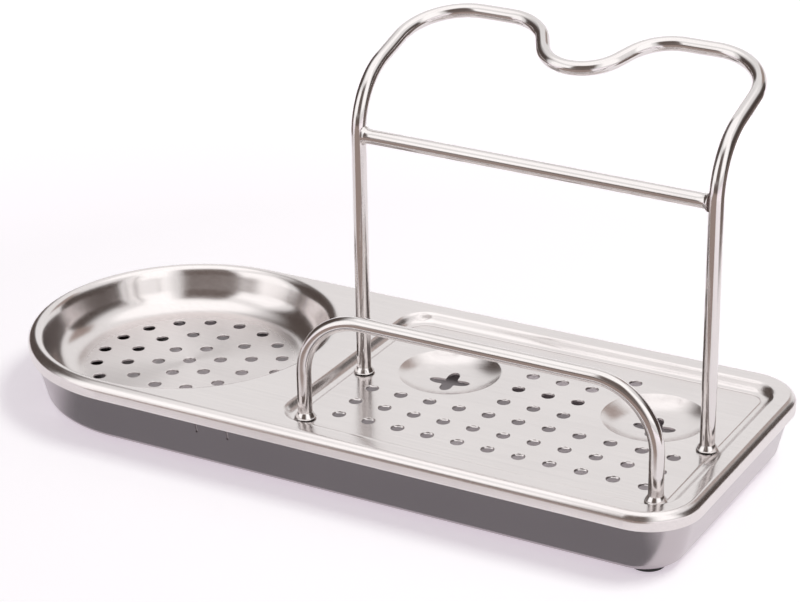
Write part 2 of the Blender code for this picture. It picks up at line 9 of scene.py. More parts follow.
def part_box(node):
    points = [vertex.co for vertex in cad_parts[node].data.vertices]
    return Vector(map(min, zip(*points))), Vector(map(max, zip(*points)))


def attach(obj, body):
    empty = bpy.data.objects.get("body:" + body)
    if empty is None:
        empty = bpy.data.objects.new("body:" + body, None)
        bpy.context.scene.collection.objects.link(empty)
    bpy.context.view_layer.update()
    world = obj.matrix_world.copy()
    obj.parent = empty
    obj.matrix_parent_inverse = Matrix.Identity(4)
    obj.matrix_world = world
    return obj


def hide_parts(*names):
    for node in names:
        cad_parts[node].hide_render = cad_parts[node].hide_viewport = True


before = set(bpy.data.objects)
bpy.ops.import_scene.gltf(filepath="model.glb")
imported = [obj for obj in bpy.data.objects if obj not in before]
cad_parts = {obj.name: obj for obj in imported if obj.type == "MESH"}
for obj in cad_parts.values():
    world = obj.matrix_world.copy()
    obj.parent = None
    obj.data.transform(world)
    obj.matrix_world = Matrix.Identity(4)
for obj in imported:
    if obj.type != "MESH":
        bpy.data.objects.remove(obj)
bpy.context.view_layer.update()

# The camera stands in front of the caddy, to its right, and looks down on it
# through a long lens. It leans over by one degree.

camera_place = (0.39753, -0.68568, 0.39931)
lens = bpy.data.cameras.new("long_lens")
lens.lens = 113.42
lens.sensor_width = 36
lens.shift_x = 0.0024
lens.shift_y = 0.0050
camera = bpy.data.objects.new("camera", lens)
turn = Matrix.Rotation(math.radians(29.6135), 4, "Z")
tip = Matrix.Rotation(math.radians(66.1206), 4, "X")
lean = Matrix.Rotation(math.radians(-1.0009), 4, "Z")
camera.matrix_world = Matrix.Translation(camera_place) @ turn @ tip @ lean
bpy.context.scene.collection.objects.link(camera)
bpy.context.scene.camera = camera

# The caddy stands on a wide sheet of white paper in a white studio, and daylight falls
# on it from high on its right. The paper keeps the soft shadow, and both it and the
# room show as white in the steel. Its glow is weaker near the caddy, a painted shade
# round it that fades out by 0.7 m.

paper_reach = 3.0
paper_glow = 0.47
# the paper glows more far from the caddy, so it reads darker close to it: painted shade
glow_past_painted_shade = 1.8
painted_shade_reach = 0.22
painted_shade_fade_end = 0.7
room_level = 0.35
window_place = Vector((0.6, 0.15, 1.2))
bpy.context.scene.view_settings.view_transform = "Standard"


def node_material(name):
    material = bpy.data.materials.new(name)
    material.use_nodes = True
    return material, material.node_tree.nodes, material.node_tree.links


def arithmetic(nodes, links, operation, *terms):
    """A sum, a product or the like, of sockets and plain numbers."""
    step = nodes.new("ShaderNodeMath")
    step.operation = operation
    for socket, term in zip(step.inputs, terms):
        if isinstance(term, (int, float)):
            socket.default_value = term
        else:
            links.new(term, socket)
    return step.outputs[0]


def vector_math(nodes, links, operation, vector, other=(0, 0, 0)):
    """The outputs of a step that works on a vector: Vector, or Value for its length."""
    step = nodes.new("ShaderNodeVectorMath")
    step.operation = operation
    step.inputs[1].default_value = other
    links.new(vector, step.inputs[0])
    return step.outputs


def ranged(nodes, links, source, start, end, low, high, curve="LINEAR"):
    """Runs from low to high while the source runs from start to end."""
    run = nodes.new("ShaderNodeMapRange")
    run.interpolation_type = curve
    run.inputs["From Min"].default_value = start
    run.inputs["From Max"].default_value = end
    run.inputs["To Min"].default_value = low
    run.inputs["To Max"].default_value = high
    links.new(source, run.inputs["Value"])
    return run.outputs["Result"]


def seen_directly(nodes, links):
    """One for rays from the camera and for those that come off metal, else nought."""
    rays = nodes.new("ShaderNodeLightPath").outputs
    return arithmetic(nodes, links, "MAXIMUM", rays["Is Camera Ray"], rays["Is Glossy Ray"])


def flat_lamp(name, width, depth, power, place, facing=(0, 0, 0)):
    """A rectangular lamp; it shines straight down unless facing turns it."""
    light = bpy.data.lights.new(name, "AREA")
    light.shape = "RECTANGLE"
    light.size = width
    light.size_y = depth
    light.energy = power
    lamp = bpy.data.objects.new(name, light)
    lamp.location = place
    lamp.rotation_euler = facing
    bpy.context.scene.collection.objects.link(lamp)
    return lamp


paper_mesh = bpy.data.meshes.new("paper")
paper_corners = [(-paper_reach, -paper_reach, 0), (paper_reach, -paper_reach, 0)]
paper_corners += [(paper_reach, paper_reach, 0), (-paper_reach, paper_reach, 0)]
paper_mesh.from_pydata(paper_corners, [], [(0, 1, 2, 3)])
paper_look, nodes, links = node_material("white_paper")
nodes.clear()
matt = nodes.new("ShaderNodeBsdfDiffuse")
matt.inputs["Color"].default_value = (0.82, 0.85, 0.81, 1)
glow = nodes.new("ShaderNodeEmission")
glow.inputs["Color"].default_value = (1, 0.885, 1, 1)
share = arithmetic(nodes, links, "MULTIPLY", seen_directly(nodes, links), paper_glow)
place = nodes.new("ShaderNodeTexCoord").outputs["Object"]
away = vector_math(nodes, links, "LENGTH", place)["Value"]
# painted shade: the glow is weaker close to the caddy and stronger far off
painted_shade_lift = ranged(nodes, links, away, painted_shade_reach, painted_shade_fade_end, 1, glow_past_painted_shade)
links.new(arithmetic(nodes, links, "MULTIPLY", share, painted_shade_lift), glow.inputs["Strength"])
both = nodes.new("ShaderNodeAddShader")
out = nodes.new("ShaderNodeOutputMaterial")
links.new(matt.outputs[0], both.inputs[0])
links.new(glow.outputs[0], both.inputs[1])
links.new(both.outputs[0], out.inputs["Surface"])
paper_mesh.materials.append(paper_look)
paper = bpy.data.objects.new("paper", paper_mesh)
bpy.context.scene.collection.objects.link(paper)

room = bpy.data.worlds.new("room")
bpy.context.scene.world = room
room.use_nodes = True
nodes = room.node_tree.nodes
links = room.node_tree.links
nodes["Background"].inputs["Color"].default_value = (1, 1, 1, 1)
level = ranged(nodes, links, seen_directly(nodes, links), 0, 1, room_level, 1)
links.new(level, nodes["Background"].inputs["Strength"])

window_facing = window_place.to_track_quat("Z", "Y").to_euler()
window_lamp = flat_lamp("window", width=0.5, depth=0.4, power=7, place=window_place, facing=window_facing)
window_lamp.visible_glossy = False

# Round the paper stand dark flags and bright soft boxes, as in any studio that takes
# steel, and dim brown sheets lie on the paper as painted shade, which makes the paper
# read darker in the steel. Only the steel sees them.

flag_brown = (1, 0.8, 0.72)
box_white = (1, 1, 1)
panel_centre = 0.03
card_lift = 0.002
side_near = 0.28
side_far = 1.5
front_middle = 0.005
front_half = 0.155
front_spread = 0.75
front_near = 0.094
front_depth = 1.4


def studio_card(name, place_of, colour, strength, side_edge, low_edge, high_edge):
    """A card bent to place_of(u, v), with soft edges as wide as these shares of it."""
    across = 24
    up = 12
    verts = [place_of(i / across, j / up) for j in range(up + 1) for i in range(across + 1)]
    faces = []
    for j in range(up):
        for i in range(across):
            at = j * (across + 1) + i
            faces.append((at, at + 1, at + across + 2, at + across + 1))
    mesh = bpy.data.meshes.new(name)
    mesh.from_pydata(verts, [], faces)
    layer = mesh.uv_layers.new(name="card")
    for corner in mesh.loops:
        row, column = divmod(corner.vertex_index, across + 1)
        layer.data[corner.index].uv = (column / across, row / up)
    material, nodes, links = node_material(name)
    nodes.clear()
    uv = nodes.new("ShaderNodeUVMap")
    uv.uv_map = "card"
    parts = nodes.new("ShaderNodeSeparateXYZ")
    links.new(uv.outputs["UV"], parts.inputs[0])
    fold = arithmetic(nodes, links, "PINGPONG", parts.outputs["X"], 0.5)
    cover = ranged(nodes, links, fold, 0, side_edge, 0, 1, "SMOOTHSTEP")
    for start, end in ((0, low_edge), (1, 1 - high_edge)):
        fade = ranged(nodes, links, parts.outputs["Y"], start, end, 0, 1, "SMOOTHSTEP")
        cover = arithmetic(nodes, links, "MULTIPLY", cover, fade)
    clear = nodes.new("ShaderNodeBsdfTransparent")
    glow = nodes.new("ShaderNodeEmission")
    glow.inputs["Color"].default_value = (*colour, 1)
    glow.inputs["Strength"].default_value = strength
    mix = nodes.new("ShaderNodeMixShader")
    links.new(cover, mix.inputs["Fac"])
    links.new(clear.outputs[0], mix.inputs[1])
    links.new(glow.outputs[0], mix.inputs[2])
    out = nodes.new("ShaderNodeOutputMaterial")
    links.new(mix.outputs[0], out.inputs["Surface"])
    mesh.materials.append(material)
    card = bpy.data.objects.new(name, mesh)
    card.visible_camera = False
    card.visible_diffuse = False
    card.visible_shadow = False
    bpy.context.scene.collection.objects.link(card)


def standing(distance, first, last, low, high):
    """Places on a panel round the caddy; first to last run round, low to high run up."""

    def place_of(u, v):
        turn = math.radians(first + u * (last - first))
        tilt = math.radians(low + v * (high - low))
        level = distance * math.cos(tilt)
        height = panel_centre + distance * math.sin(tilt)
        return level * math.cos(turn), level * math.sin(turn), height

    return place_of


def lying(first, last):
    """Places on the paper round the caddy, from the first to the last degree."""

    def place_of(u, v):
        turn = math.radians(first + u * (last - first))
        reach = side_near + v * (side_far - side_near)
        return reach * math.cos(turn), reach * math.sin(turn), card_lift

    return place_of


def ahead(u, v):
    """Places on the paper in front of the caddy."""
    sideways = (2 * u - 1) * (front_half + front_spread * v)
    return front_middle + sideways, -front_near - front_depth * v, card_lift


studio_card("low_front_flag", standing(1.5, -127, -50, -3, 17), flag_brown, 0.16, 0.19, 0.01, 0.4)
studio_card("high_front_flag", standing(1.49, -110, -50, 6, 68), flag_brown, 0.16, 0.17, 0.2, 0.3)
studio_card("right_box", standing(1.6, -50, -1, 9, 82), box_white, 1.45, 0.2, 0.06, 0.06)
studio_card("left_box", standing(1.6, -152, -92, -3, 50), box_white, 1.4, 0.08, 0.01, 0.2)
studio_card("rear_right_flag", standing(1.5, -2, 69, -3, 48), flag_brown, 0.09, 0.08, 0.01, 0.4)
studio_card("left_flag", standing(1.5, 134, 204, -3, 58), flag_brown, 0.1, 0.12, 0.01, 0.35)
studio_card("top_box", standing(1.7, 0, 360, 52, 89), box_white, 1.4, 0.001, 0.3, 0.001)
studio_card("rear_wing", standing(1.48, 60, 92, 20, 48), flag_brown, 0.4, 0.25, 0.2, 0.2)
# painted shade: these dim sheets make the paper read darker in the steel, in front and at the sides
studio_card("front_apron", ahead, flag_brown, 0.4, 0.08, 0.018, 0.01)
studio_card("right_apron", lying(-5, 64), flag_brown, 0.22, 0.1, 0.06, 0.01)
studio_card("left_apron", lying(138, 202), flag_brown, 0.22, 0.1, 0.06, 0.01)

# A narrow grey strip lies on the paper close to the pan's front and round end, seen only
# in the steel. It is a painted reflection of shade, which keeps that side of the pan dark.

shade_strip_grey = (0.97, 0.93, 0.97)
strip_right = 0.155
strip_bend_x = -0.08
strip_bend = math.radians(50)
strip_near = 0.0535
strip_width = 0.034
strip_lift = 0.0006


def beside_the_pan(u, v):
    """Places along the pan's front, then round its dish end."""
    straight = strip_right - strip_bend_x
    reach = strip_near + strip_width * v
    gone = u * (straight + reach * strip_bend)
    if gone < straight:
        return strip_right - gone, -reach, strip_lift
    turn = -math.pi / 2 - (gone - straight) / reach
    return strip_bend_x + reach * math.cos(turn), reach * math.sin(turn), strip_lift


# painted reflection: a dim strip that darkens the pan's front and round end in the steel
studio_card("pan_shade_reflection_strip", beside_the_pan, shade_strip_grey, 0.3, 0.1, 0.01, 0.25)

# Two dim lamps inside the pan stand in for the light that gets in through the holes.
# One shines down on its floor, and the other on the inside of its back wall.

lamp_length = 0.237
low_place = (0.0065, 0.005, 0.0085)
side_place = (0.0065, -0.045, 0.0115)
sideways = (math.pi / 2, 0, 0)
low_lamp = flat_lamp("light_in_the_pan", lamp_length, depth=0.09, power=0.024, place=low_place)
side_lamp = flat_lamp("light_on_the_pan_wall", lamp_length, 0.011, 0.01, side_place, sideways)
low_lamp.visible_camera = False
side_lamp.visible_camera = False

# The drip pan is drawn from one sheet of steel and left satin. Each long side has
# a sprung tongue between two saw cuts, which holds the tray on the pan.

sheet = 0.0008
seat_gap = 0.0003
side_play = 0.0001
foot_height = 0.0019
tray_length = 0.275
tray_width = 0.115
tray_corner = 0.019
dish_x = (tray_width - tray_length) / 2
pan_inset = sheet + seat_gap + side_play
pan_height = 0.0206
pan_base = foot_height + seat_gap
pan_top = pan_base + pan_height
pan_wall_angle = math.radians(79)
pan_fillet = 0.003
pan_draft = 0.001
tongue_middle = dish_x + 0.0457
tongue_width = 0.0124
slit_width = 0.0008
slit_depth = 0.0081
corner_steps = 14
bow_steps = 72
closest_points = 1e-7
crease_angle = math.radians(40)
sheet_crease_angle = math.radians(50)
grain_height = 0.0001


def quarter(x, y, radius, start):
    """Plan points of a quarter circle about (x, y), anticlockwise from the angle start."""
    turns = [start + math.pi / 2 * i / corner_steps for i in range(corner_steps + 1)]
    return [(x + radius * math.cos(a), y + radius * math.sin(a)) for a in turns]


def end_plan(round_x, half_width, right, corner, inset, knees=()):
    """The caddy's plan: a half circle at the left, rounded corners at the right.

    The long sides have extra points at the knees.
    """
    half = half_width - inset
    far = right - corner
    front = [(x, -half) for x in (round_x, *knees)]
    back = [(x, half) for x in (*reversed(knees), round_x)]
    corners = quarter(far, corner - half_width, corner - inset, -math.pi / 2)
    corners += quarter(far, half_width - corner, corner - inset, 0)
    turns = [math.pi / 2 + math.pi * i / bow_steps for i in range(1, bow_steps)]
    bow = [(round_x + half * math.cos(a), half * math.sin(a)) for a in turns]
    return front + corners + back + bow


def loop(bm, plan, z):
    return [bm.verts.new((x, y, z)) for x, y in plan]


def skin(bm, loops):
    """Four-sided faces from each closed loop to the next."""
    for outer, inner in zip(loops, loops[1:]):
        for i in range(len(outer)):
            j = (i + 1) % len(outer)
            bm.faces.new((outer[i], outer[j], inner[j], inner[i]))


def fill_level(bm, outline, holes=()):
    """Triangles over the level area inside outline, apart from round holes.

    Each hole is given as (loop, x, y, radius).
    """
    verts = []
    edges = []
    for ring in [outline] + [hole[0] for hole in holes]:
        first = len(verts)
        verts += ring
        edges += [(first + i, first + (i + 1) % len(ring)) for i in range(len(ring))]
    plan = [vert.co.xy for vert in verts]
    for face in delaunay_2d_cdt(plan, edges, [], 1, closest_points)[2]:
        middle = sum((plan[i] for i in face), Vector((0, 0))) / 3
        if any((middle - Vector((x, y))).length < radius for _, x, y, radius in holes):
            continue
        (ax, ay), (bx, by), (cx, cy) = (plan[i] for i in face)
        upward = (bx - ax) * (cy - ay) > (by - ay) * (cx - ax)
        bm.faces.new([verts[i] for i in (face if upward else reversed(face))])


def bowl_wall(height, angle, fillet, lip=0, steps=10):
    """(inset, drop) of a pressed wall, from the end of its lip to the edge of its floor."""
    fillet = min(fillet, (height - lip * math.sin(angle)) / (1 - math.cos(angle)))
    tangent_drop = height - fillet * (1 - math.cos(angle))
    centre = tangent_drop / math.tan(angle) + fillet * math.sin(angle)
    turns = [angle * (1 - i / steps) for i in range(steps + 1)]
    return [(centre - fillet * math.sin(a), height - fillet + fillet * math.cos(a)) for a in turns]


def piece_of(name, bm, material):
    """Makes the finished mesh an object in the scene."""
    mesh = bpy.data.meshes.new(name)
    bm.to_mesh(mesh)
    bm.free()
    mesh.shade_smooth()
    mesh.set_sharp_from_angle(angle=crease_angle)
    mesh.materials.append(material)
    obj = bpy.data.objects.new(name, mesh)
    bpy.context.scene.collection.objects.link(obj)
    return obj


def thicken(obj):
    """Gives a pressed sheet its thickness, inwards from the side that was drawn."""
    solid = obj.modifiers.new("sheet", "SOLIDIFY")
    solid.thickness = sheet
    solid.offset = -1
    solid.use_even_offset = True
    graph = bpy.context.evaluated_depsgraph_get()
    made = bpy.data.meshes.new_from_object(obj.evaluated_get(graph))
    made.shade_smooth()
    made.set_sharp_from_angle(angle=sheet_crease_angle)
    obj.modifiers.clear()
    obj.data = made


def steel(name):
    material, nodes, links = node_material(name)
    nodes["Principled BSDF"].inputs["Metallic"].default_value = 1
    return material, nodes, links


def noise(nodes, links, scales, detail=3, place=None):
    """A pattern in the object's own space, drawn out along the axis with the least scale."""
    if place is None:
        place = nodes.new("ShaderNodeTexCoord").outputs["Object"]
    mapping = nodes.new("ShaderNodeMapping")
    mapping.inputs["Scale"].default_value = scales
    links.new(place, mapping.inputs["Vector"])
    pattern = nodes.new("ShaderNodeTexNoise")
    pattern.inputs["Scale"].default_value = 1
    pattern.inputs["Detail"].default_value = detail
    links.new(mapping.outputs["Vector"], pattern.inputs["Vector"])
    return pattern.outputs["Fac"]


def add_colour(nodes, links, share, dark, light):
    """The piece's colour, which runs from dark to light with the share."""
    tint = nodes.new("ShaderNodeMix")
    tint.data_type = "RGBA"
    tint.inputs["A"].default_value = (*dark, 1)
    tint.inputs["B"].default_value = (*light, 1)
    links.new(share, tint.inputs["Factor"])
    links.new(tint.outputs["Result"], nodes["Principled BSDF"].inputs["Base Color"])


def add_roughness(nodes, links, share, least, most):
    rough = ranged(nodes, links, share, 0, 1, least, most)
    links.new(rough, nodes["Principled BSDF"].inputs["Roughness"])


def add_grain(nodes, links, grain, strength):
    bump = nodes.new("ShaderNodeBump")
    bump.inputs["Strength"].default_value = strength
    bump.inputs["Distance"].default_value = grain_height
    links.new(grain, bump.inputs["Height"])
    links.new(bump.outputs["Normal"], nodes["Principled BSDF"].inputs["Normal"])


pan_steel, nodes, links = steel("satin_pan_steel")
grain = noise(nodes, links, (60, 60, 2500))
cloud = noise(nodes, links, (35, 35, 35), detail=2)
pan_colour = (0.5, 0.46, 0.475)
add_colour(nodes, links, cloud, [c * 0.96 for c in pan_colour], [c * 1.04 for c in pan_colour])
add_roughness(nodes, links, grain, 0.2, 0.28)
add_grain(nodes, links, grain, 0.04)

slit_edges = []
for side in (-1, 1):
    slit_x = tongue_middle + side * tongue_width / 2
    slit_edges += [slit_x - slit_width / 2, slit_x + slit_width / 2]


def pan_plan(inset, drop):
    lean_in = pan_draft * drop / pan_height
    half = tray_width / 2 - pan_inset
    right = tray_length / 2 - pan_inset - lean_in
    return end_plan(dish_x + lean_in, half, right, tray_corner - pan_inset, inset, slit_edges)


bm = bmesh.new()
slit_inset = slit_depth / math.tan(pan_wall_angle)
levels = [(0, 0), (slit_inset, slit_depth), *bowl_wall(pan_height, pan_wall_angle, pan_fillet)]
loops = [loop(bm, pan_plan(inset, drop), pan_top - drop) for inset, drop in levels]
skin(bm, loops)
fill_level(bm, loops[-1])
sawn = []
for face in bm.faces:
    middle = face.calc_center_median()
    in_slit = any(first < middle.x < last for first, last in (slit_edges[:2], slit_edges[2:]))
    if in_slit and middle.z > pan_top - slit_depth:
        sawn.append(face)
bmesh.ops.delete(bm, geom=sawn, context="FACES")
bmesh.ops.reverse_faces(bm, faces=bm.faces)
drawn_pan = piece_of("drawn_pan", bm, pan_steel)
thicken(drawn_pan)
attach(drawn_pan, "pan")
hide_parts("drip_pan")

# Four black rubber pads are stuck under the pan. They are moulded, with a small
# rounded edge at the ground, and they hold the pan just off the worktop.

pad_edge = 0.0005
pad_edge_steps = 6
rubber, nodes, links = node_material("black_rubber")
nodes["Principled BSDF"].inputs["Roughness"].default_value = 0.7
speck = noise(nodes, links, (1500, 1500, 1500), detail=2)
add_colour(nodes, links, speck, (0.02, 0.02, 0.02), (0.045, 0.043, 0.042))
add_grain(nodes, links, speck, 0.2)


def turned(name, profile, place, material, sides=48, closed=False):
    """A piece turned about an upright axis, from (radius, height) points up its outside."""
    bm = bmesh.new()
    turns = [2 * math.pi * i / sides for i in range(sides)]
    loops = [loop(bm, [(r * math.cos(a), r * math.sin(a)) for a in turns], z) for r, z in profile]
    skin(bm, loops)
    if closed:
        bm.faces.new(reversed(loops[0]))
        bm.faces.new(loops[-1])
    else:
        skin(bm, [loops[-1], loops[0]])
    bmesh.ops.translate(bm, verts=bm.verts, vec=place)
    return piece_of(name, bm, material)


pad_turns = [i * math.pi / (2 * pad_edge_steps) for i in range(pad_edge_steps + 1)]
for node in ("foot_left_front", "foot_left_back", "foot_right_front", "foot_right_back"):
    low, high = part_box(node)
    wall = (high[0] - low[0]) / 2 - pad_edge
    profile = [(wall + pad_edge * math.sin(a), pad_edge - pad_edge * math.cos(a)) for a in pad_turns]
    profile += [(wall + pad_edge, high[2])]
    centre = ((low[0] + high[0]) / 2, (low[1] + high[1]) / 2, 0)
    pad = turned(node.replace("foot", "pad"), profile, centre, rubber, closed=True)
    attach(pad, "pan")
    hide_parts(node)

# The drain tray is pressed from one sheet of stainless steel: a rolled rim, a round
# dish, a flat bridge, and a shallow well with two dimples. The holes are punched.

edge_radius = 0.0031
edge_steps = 16
skirt_drop = 0.0027
dish_margin = 0.0022
dish_depth = 0.0149
dish_angle = math.radians(72)
dish_fillet = 0.0102
dish_lip = 0.0037
lip_room_share = 0.8
bridge_width = 0.0139
well_margin = 0.0053
well_reach = 0.0012
well_depth = 0.0031
well_angle = math.radians(50)
well_fillet = 0.004
well_lip = 0.0014
hole_radius = 0.00225
hole_pitch = 0.01125
hole_land = 0.0026
hole_rings = 3
hole_ring_turn = math.radians(30)
grid_rows = 7
grid_half_columns = 5
grid_shift = 0.0012
grid_front_margin = 0.0131
screw_hole = 0.0015
dimple_depth = 0.0041
dimple_crease = 0.00007
dimple_land = 1.04
dimple_edge = 1.02
dimple_radius_share = 0.2613
dimple_spread_share = 0.5597
dimple_back_margin = 0.0333
cutout_reach_share = 0.404
cutout_middle = 0.715
cutout_swing = 0.285
cutout_lobes = 4
cutout_turn = math.radians(8)
cutout_depth = 0.0007
rack_left_margin = 0.00545
rack_right_margin = 0.0047
rack_forward = 0.0006
guard_left_margin = 0.00565
guard_right_margin = 0.0052
guard_front_margin = 0.0058
edge_hollow = edge_radius - sheet - seat_gap
edge_z = pan_top - math.sqrt(edge_hollow**2 - (edge_radius - pan_inset) ** 2)
deck_z = edge_z + edge_radius
well_z = deck_z - well_depth
dish_z = deck_z - dish_depth
dish_radius = tray_width / 2 - edge_radius - dish_margin
well_half = tray_width / 2 - edge_radius - well_margin
well_corner = tray_corner - edge_radius - well_margin
well_left = dish_x + dish_radius + bridge_width
well_right = tray_length / 2 - edge_radius - well_margin + well_reach
well_run = well_depth / math.tan(well_angle)
floor_left = well_left + well_run
floor_right = well_right - well_run
floor_half = well_half - well_run
flat_ring = 0.0005
dish_sides = 2 * bow_steps
dimple_sides = 96
lip_steps = 12
hole_sides = 28


def lip_points(overhang, length, angle):
    """(inset, drop) over a rounded lip: level at -overhang, then turning down the wall."""
    points = []
    for i in range(lip_steps + 1):
        t = i / lip_steps
        level = (1 - t) ** 2
        inset = t**2 * length * math.cos(angle) - level * overhang
        points.append((inset, t**2 * length * math.sin(angle)))
    return points


def dish_overhang(angle):
    """How far the dish's lip spreads over the deck; beside the rim there is less room."""
    room = lip_room_share * (dish_radius + dish_margin) * (1 - abs(math.sin(angle)))
    return dish_margin + min(dish_lip - dish_margin, room)


def dish_plan(inset):
    turns = [2 * math.pi * i / dish_sides - math.pi / 2 for i in range(dish_sides)]
    radius = dish_radius - inset
    return [(dish_x + radius * math.cos(a), radius * math.sin(a)) for a in turns]


def dish_lip_plan(step):
    inset, drop = lip_points(dish_margin, dish_lip, dish_angle)[step]
    plan = dish_plan(inset)
    for i in range(1, dish_sides // 2):
        angle = 2 * math.pi * i / dish_sides - math.pi / 2
        inset = lip_points(dish_overhang(angle), dish_lip, dish_angle)[step][0]
        plan[i] = dish_plan(inset)[i]
    return plan, deck_z - drop


def well_plan(inset):
    wall = well_half - well_corner
    far = well_right - well_corner
    near = well_left + well_corner
    radius = well_corner - inset
    plan = quarter(far, -wall, radius, -math.pi / 2)
    plan += quarter(far, wall, radius, 0)
    plan += quarter(near, wall, radius, math.pi / 2)
    return plan + quarter(near, -wall, radius, math.pi)


def circle(bm, x, y, z, radius, sides):
    turns = [2 * math.pi * (i + 0.5) / sides for i in range(sides)]
    return loop(bm, [(x + radius * math.cos(a), y + radius * math.sin(a)) for a in turns], z)


def punch(bm, x, y, z, radius):
    """A punched hole: its edge is drawn down a little, then comes the cut wall."""
    pull = ((flat_ring, 0), (0.00024, 0), (0.00012, 0.00002), (0.00004, 0.00008), (0, 0.00018), (0, 0.00076))
    loops = [circle(bm, x, y, z - drop, radius + out, hole_sides) for out, drop in pull]
    skin(bm, loops)
    return loops[0], x, y, radius + flat_ring


bm = bmesh.new()

# the skirt and the rounded edge
levels = [(0, edge_z - skirt_drop)]
for i in range(edge_steps + 1):
    angle = math.pi / 2 * i / edge_steps
    levels.append((edge_radius * (1 - math.cos(angle)), edge_z + edge_radius * math.sin(angle)))
knee = well_left + well_corner
shape = (dish_x, tray_width / 2, tray_length / 2, tray_corner)
loops = [loop(bm, end_plan(*shape, inset, (knee,)), z) for inset, z in levels]
skin(bm, loops)
rim = loops[-1]

# the round dish
half = dish_sides // 2
plan, z = dish_lip_plan(0)
lip = [rim[0]] + loop(bm, plan[1:half], z) + rim[-half:]
loops = [lip] + [loop(bm, *dish_lip_plan(step)) for step in range(1, lip_steps + 1)]
profile = bowl_wall(dish_depth, dish_angle, dish_fillet, dish_lip, steps=16)
profile += [(profile[-1][0] + flat_ring, dish_depth)]
loops += [loop(bm, dish_plan(inset), deck_z - drop) for inset, drop in profile]
skin(bm, loops)
holes = [punch(bm, dish_x, 0, dish_z, hole_radius)]
for ring in range(1, hole_rings + 1):
    for i in range(6 * ring):
        angle = hole_ring_turn + 2 * math.pi * i / (6 * ring)
        reach = ring * hole_pitch
        x = dish_x + reach * math.cos(angle)
        holes.append(punch(bm, x, reach * math.sin(angle), dish_z, hole_radius))
fill_level(bm, loops[-1], holes)
dish_side = lip[: half + 1]

# the well, its grid of holes and its two dimples
shared = 2 * (corner_steps + 1) + 1
lip = rim[2 : 2 + shared] + loop(bm, well_plan(-well_margin)[shared:-1], deck_z) + [rim[1]]
profile = lip_points(well_lip, well_lip, well_angle)
profile += bowl_wall(well_depth, well_angle, well_fillet, well_lip, steps=8)
foot = profile[-1][0]
groove = ((0.0001, 0.00008), (0.0002, 0.00012), (0.0003, 0.00008), (0.0004, 0), (0.0004 + flat_ring, 0))
profile += [(foot + out, well_depth + drop) for out, drop in groove]
loops = [lip] + [loop(bm, well_plan(inset), deck_z - drop) for inset, drop in profile]
skin(bm, loops)
floor_edge = loops[-1]
well_side = lip[shared - 1 :]
grid_x = (floor_left + floor_right) / 2 + grid_shift
dimple_spread = dimple_spread_share * (floor_right - floor_left) / 2
dimple_radius = dimple_radius_share * (floor_right - floor_left) / 2
dimple_y = floor_half - dimple_back_margin
dimples = [(grid_x - dimple_spread, dimple_y), (grid_x + dimple_spread, dimple_y)]
holes = []
for row in range(grid_rows):
    y = grid_front_margin - floor_half + row * hole_pitch
    for column in range(-grid_half_columns, grid_half_columns + 1):
        x = grid_x + column * hole_pitch
        gap = min(math.dist((x, y), dimple) for dimple in dimples)
        in_front = y < dimple_y - dimple_radius - hole_radius
        between = abs(x - grid_x) < dimple_spread
        if gap > dimple_radius + hole_radius + hole_land and (in_front or between):
            holes.append(punch(bm, x, y, well_z, hole_radius))
guard_y = guard_front_margin - floor_half
leg_places = {
    "rack_left": (floor_left + rack_left_margin, -rack_forward),
    "rack_right": (floor_right - rack_right_margin, -rack_forward),
    "guard_left": (floor_left + guard_left_margin, guard_y),
    "guard_right": (floor_right - guard_right_margin, guard_y),
}
for x, y in leg_places.values():
    holes.append((circle(bm, x, y, well_z, screw_hole, hole_sides), x, y, screw_hole))
cutout_reach = cutout_reach_share * dimple_radius


def dimple_drop(t):
    """How deep a dimple is at a share t of its radius; its edge is a small rounded crease."""
    steep = dimple_depth * (1 - t**3)
    return (steep + math.sqrt(steep**2 + 4 * dimple_crease**2)) / 2


def cutout_lobe(angle):
    """How far the cut-out reaches, as a share of its longest reach."""
    return cutout_middle + cutout_swing * math.cos(cutout_lobes * (angle - cutout_turn))


dimple_steps = (1.01, 1.0, 0.99, 0.98, 0.96, 0.93, 0.89, 0.84, 0.78, 0.71, 0.63, 0.55, 0.48, 0.43)
for x, y in dimples:
    land = dimple_land * dimple_radius
    loops = [circle(bm, x, y, well_z, land, dimple_sides)]
    loops.append(circle(bm, x, y, well_z, dimple_edge * dimple_radius, dimple_sides))
    for t in dimple_steps:
        loops.append(circle(bm, x, y, well_z - dimple_drop(t), t * dimple_radius, dimple_sides))
    turns = [2 * math.pi * (i + 0.5) / dimple_sides for i in range(dimple_sides)]
    for edge_drop in (0, cutout_depth):
        cutout = []
        for angle in turns:
            r = cutout_reach * cutout_lobe(angle)
            z = well_z - dimple_drop(r / dimple_radius) - edge_drop
            cutout.append(bm.verts.new((x + r * math.cos(angle), y + r * math.sin(angle), z)))
        loops.append(cutout)
    skin(bm, loops)
    holes.append((loops[0], x, y, land))
fill_level(bm, floor_edge, holes)

# the flat bridge between them
fill_level(bm, well_side + dish_side)

